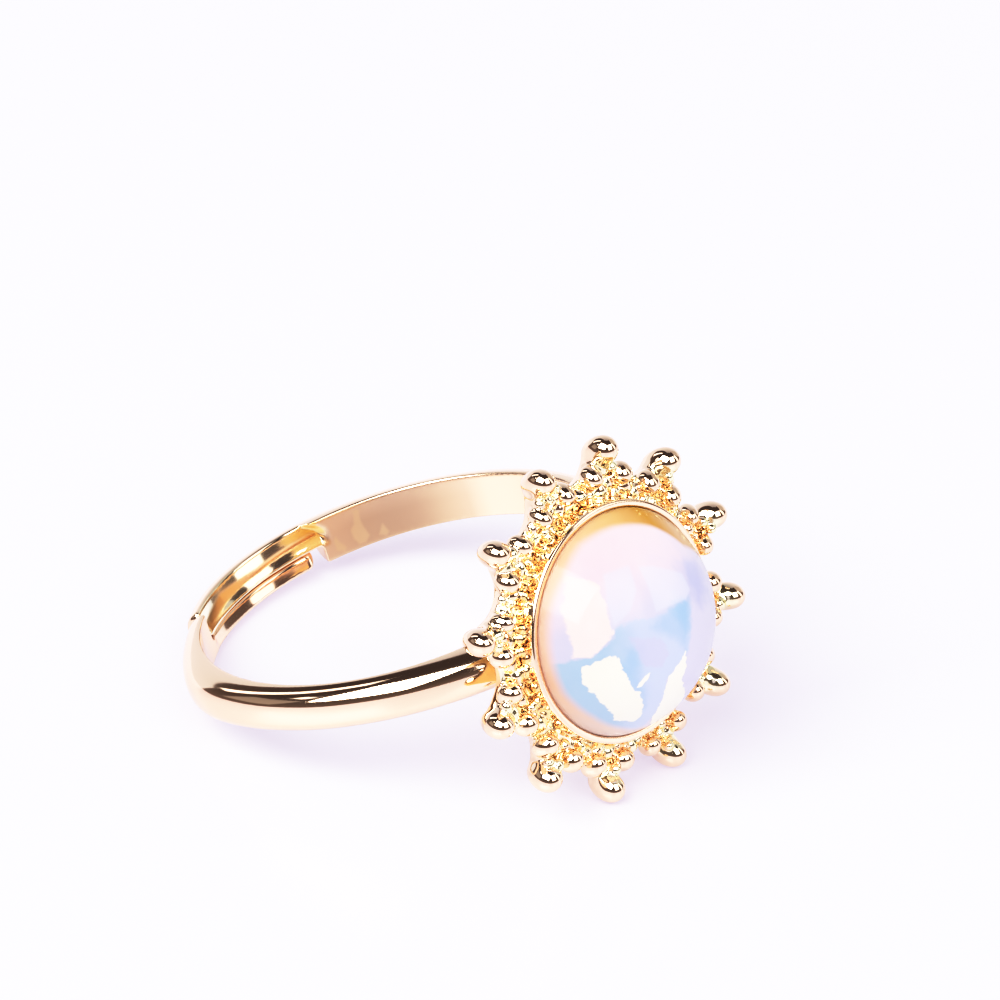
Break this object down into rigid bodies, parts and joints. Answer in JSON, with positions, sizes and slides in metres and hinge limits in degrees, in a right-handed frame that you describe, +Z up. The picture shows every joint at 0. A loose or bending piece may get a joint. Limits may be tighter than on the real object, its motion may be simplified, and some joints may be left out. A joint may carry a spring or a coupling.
{
  "type": "moonstone ring",
  "caption": "Adjustable gold-plated ring with a twelve-ray sunburst head, granulation and a round milky moonstone cabochon in a plain bezel.",
  "frame": {"origin": "on the floor under the middle of the ring's box, the ring lying on its side as it comes to rest", "axes": "+X the way the stone looks, +Z up from the floor, +Y towards the shank whose tongue lies on top"},
  "size_m": [0.024, 0.019, 0.0139],
  "materials": {
    "gold": "polished gold plating",
    "stone": "polished milky glass"
  },
  "bodies": {
    "root": {"gold_ring": "gold", "moonstone": "stone"}
  },
  "joints": []
}
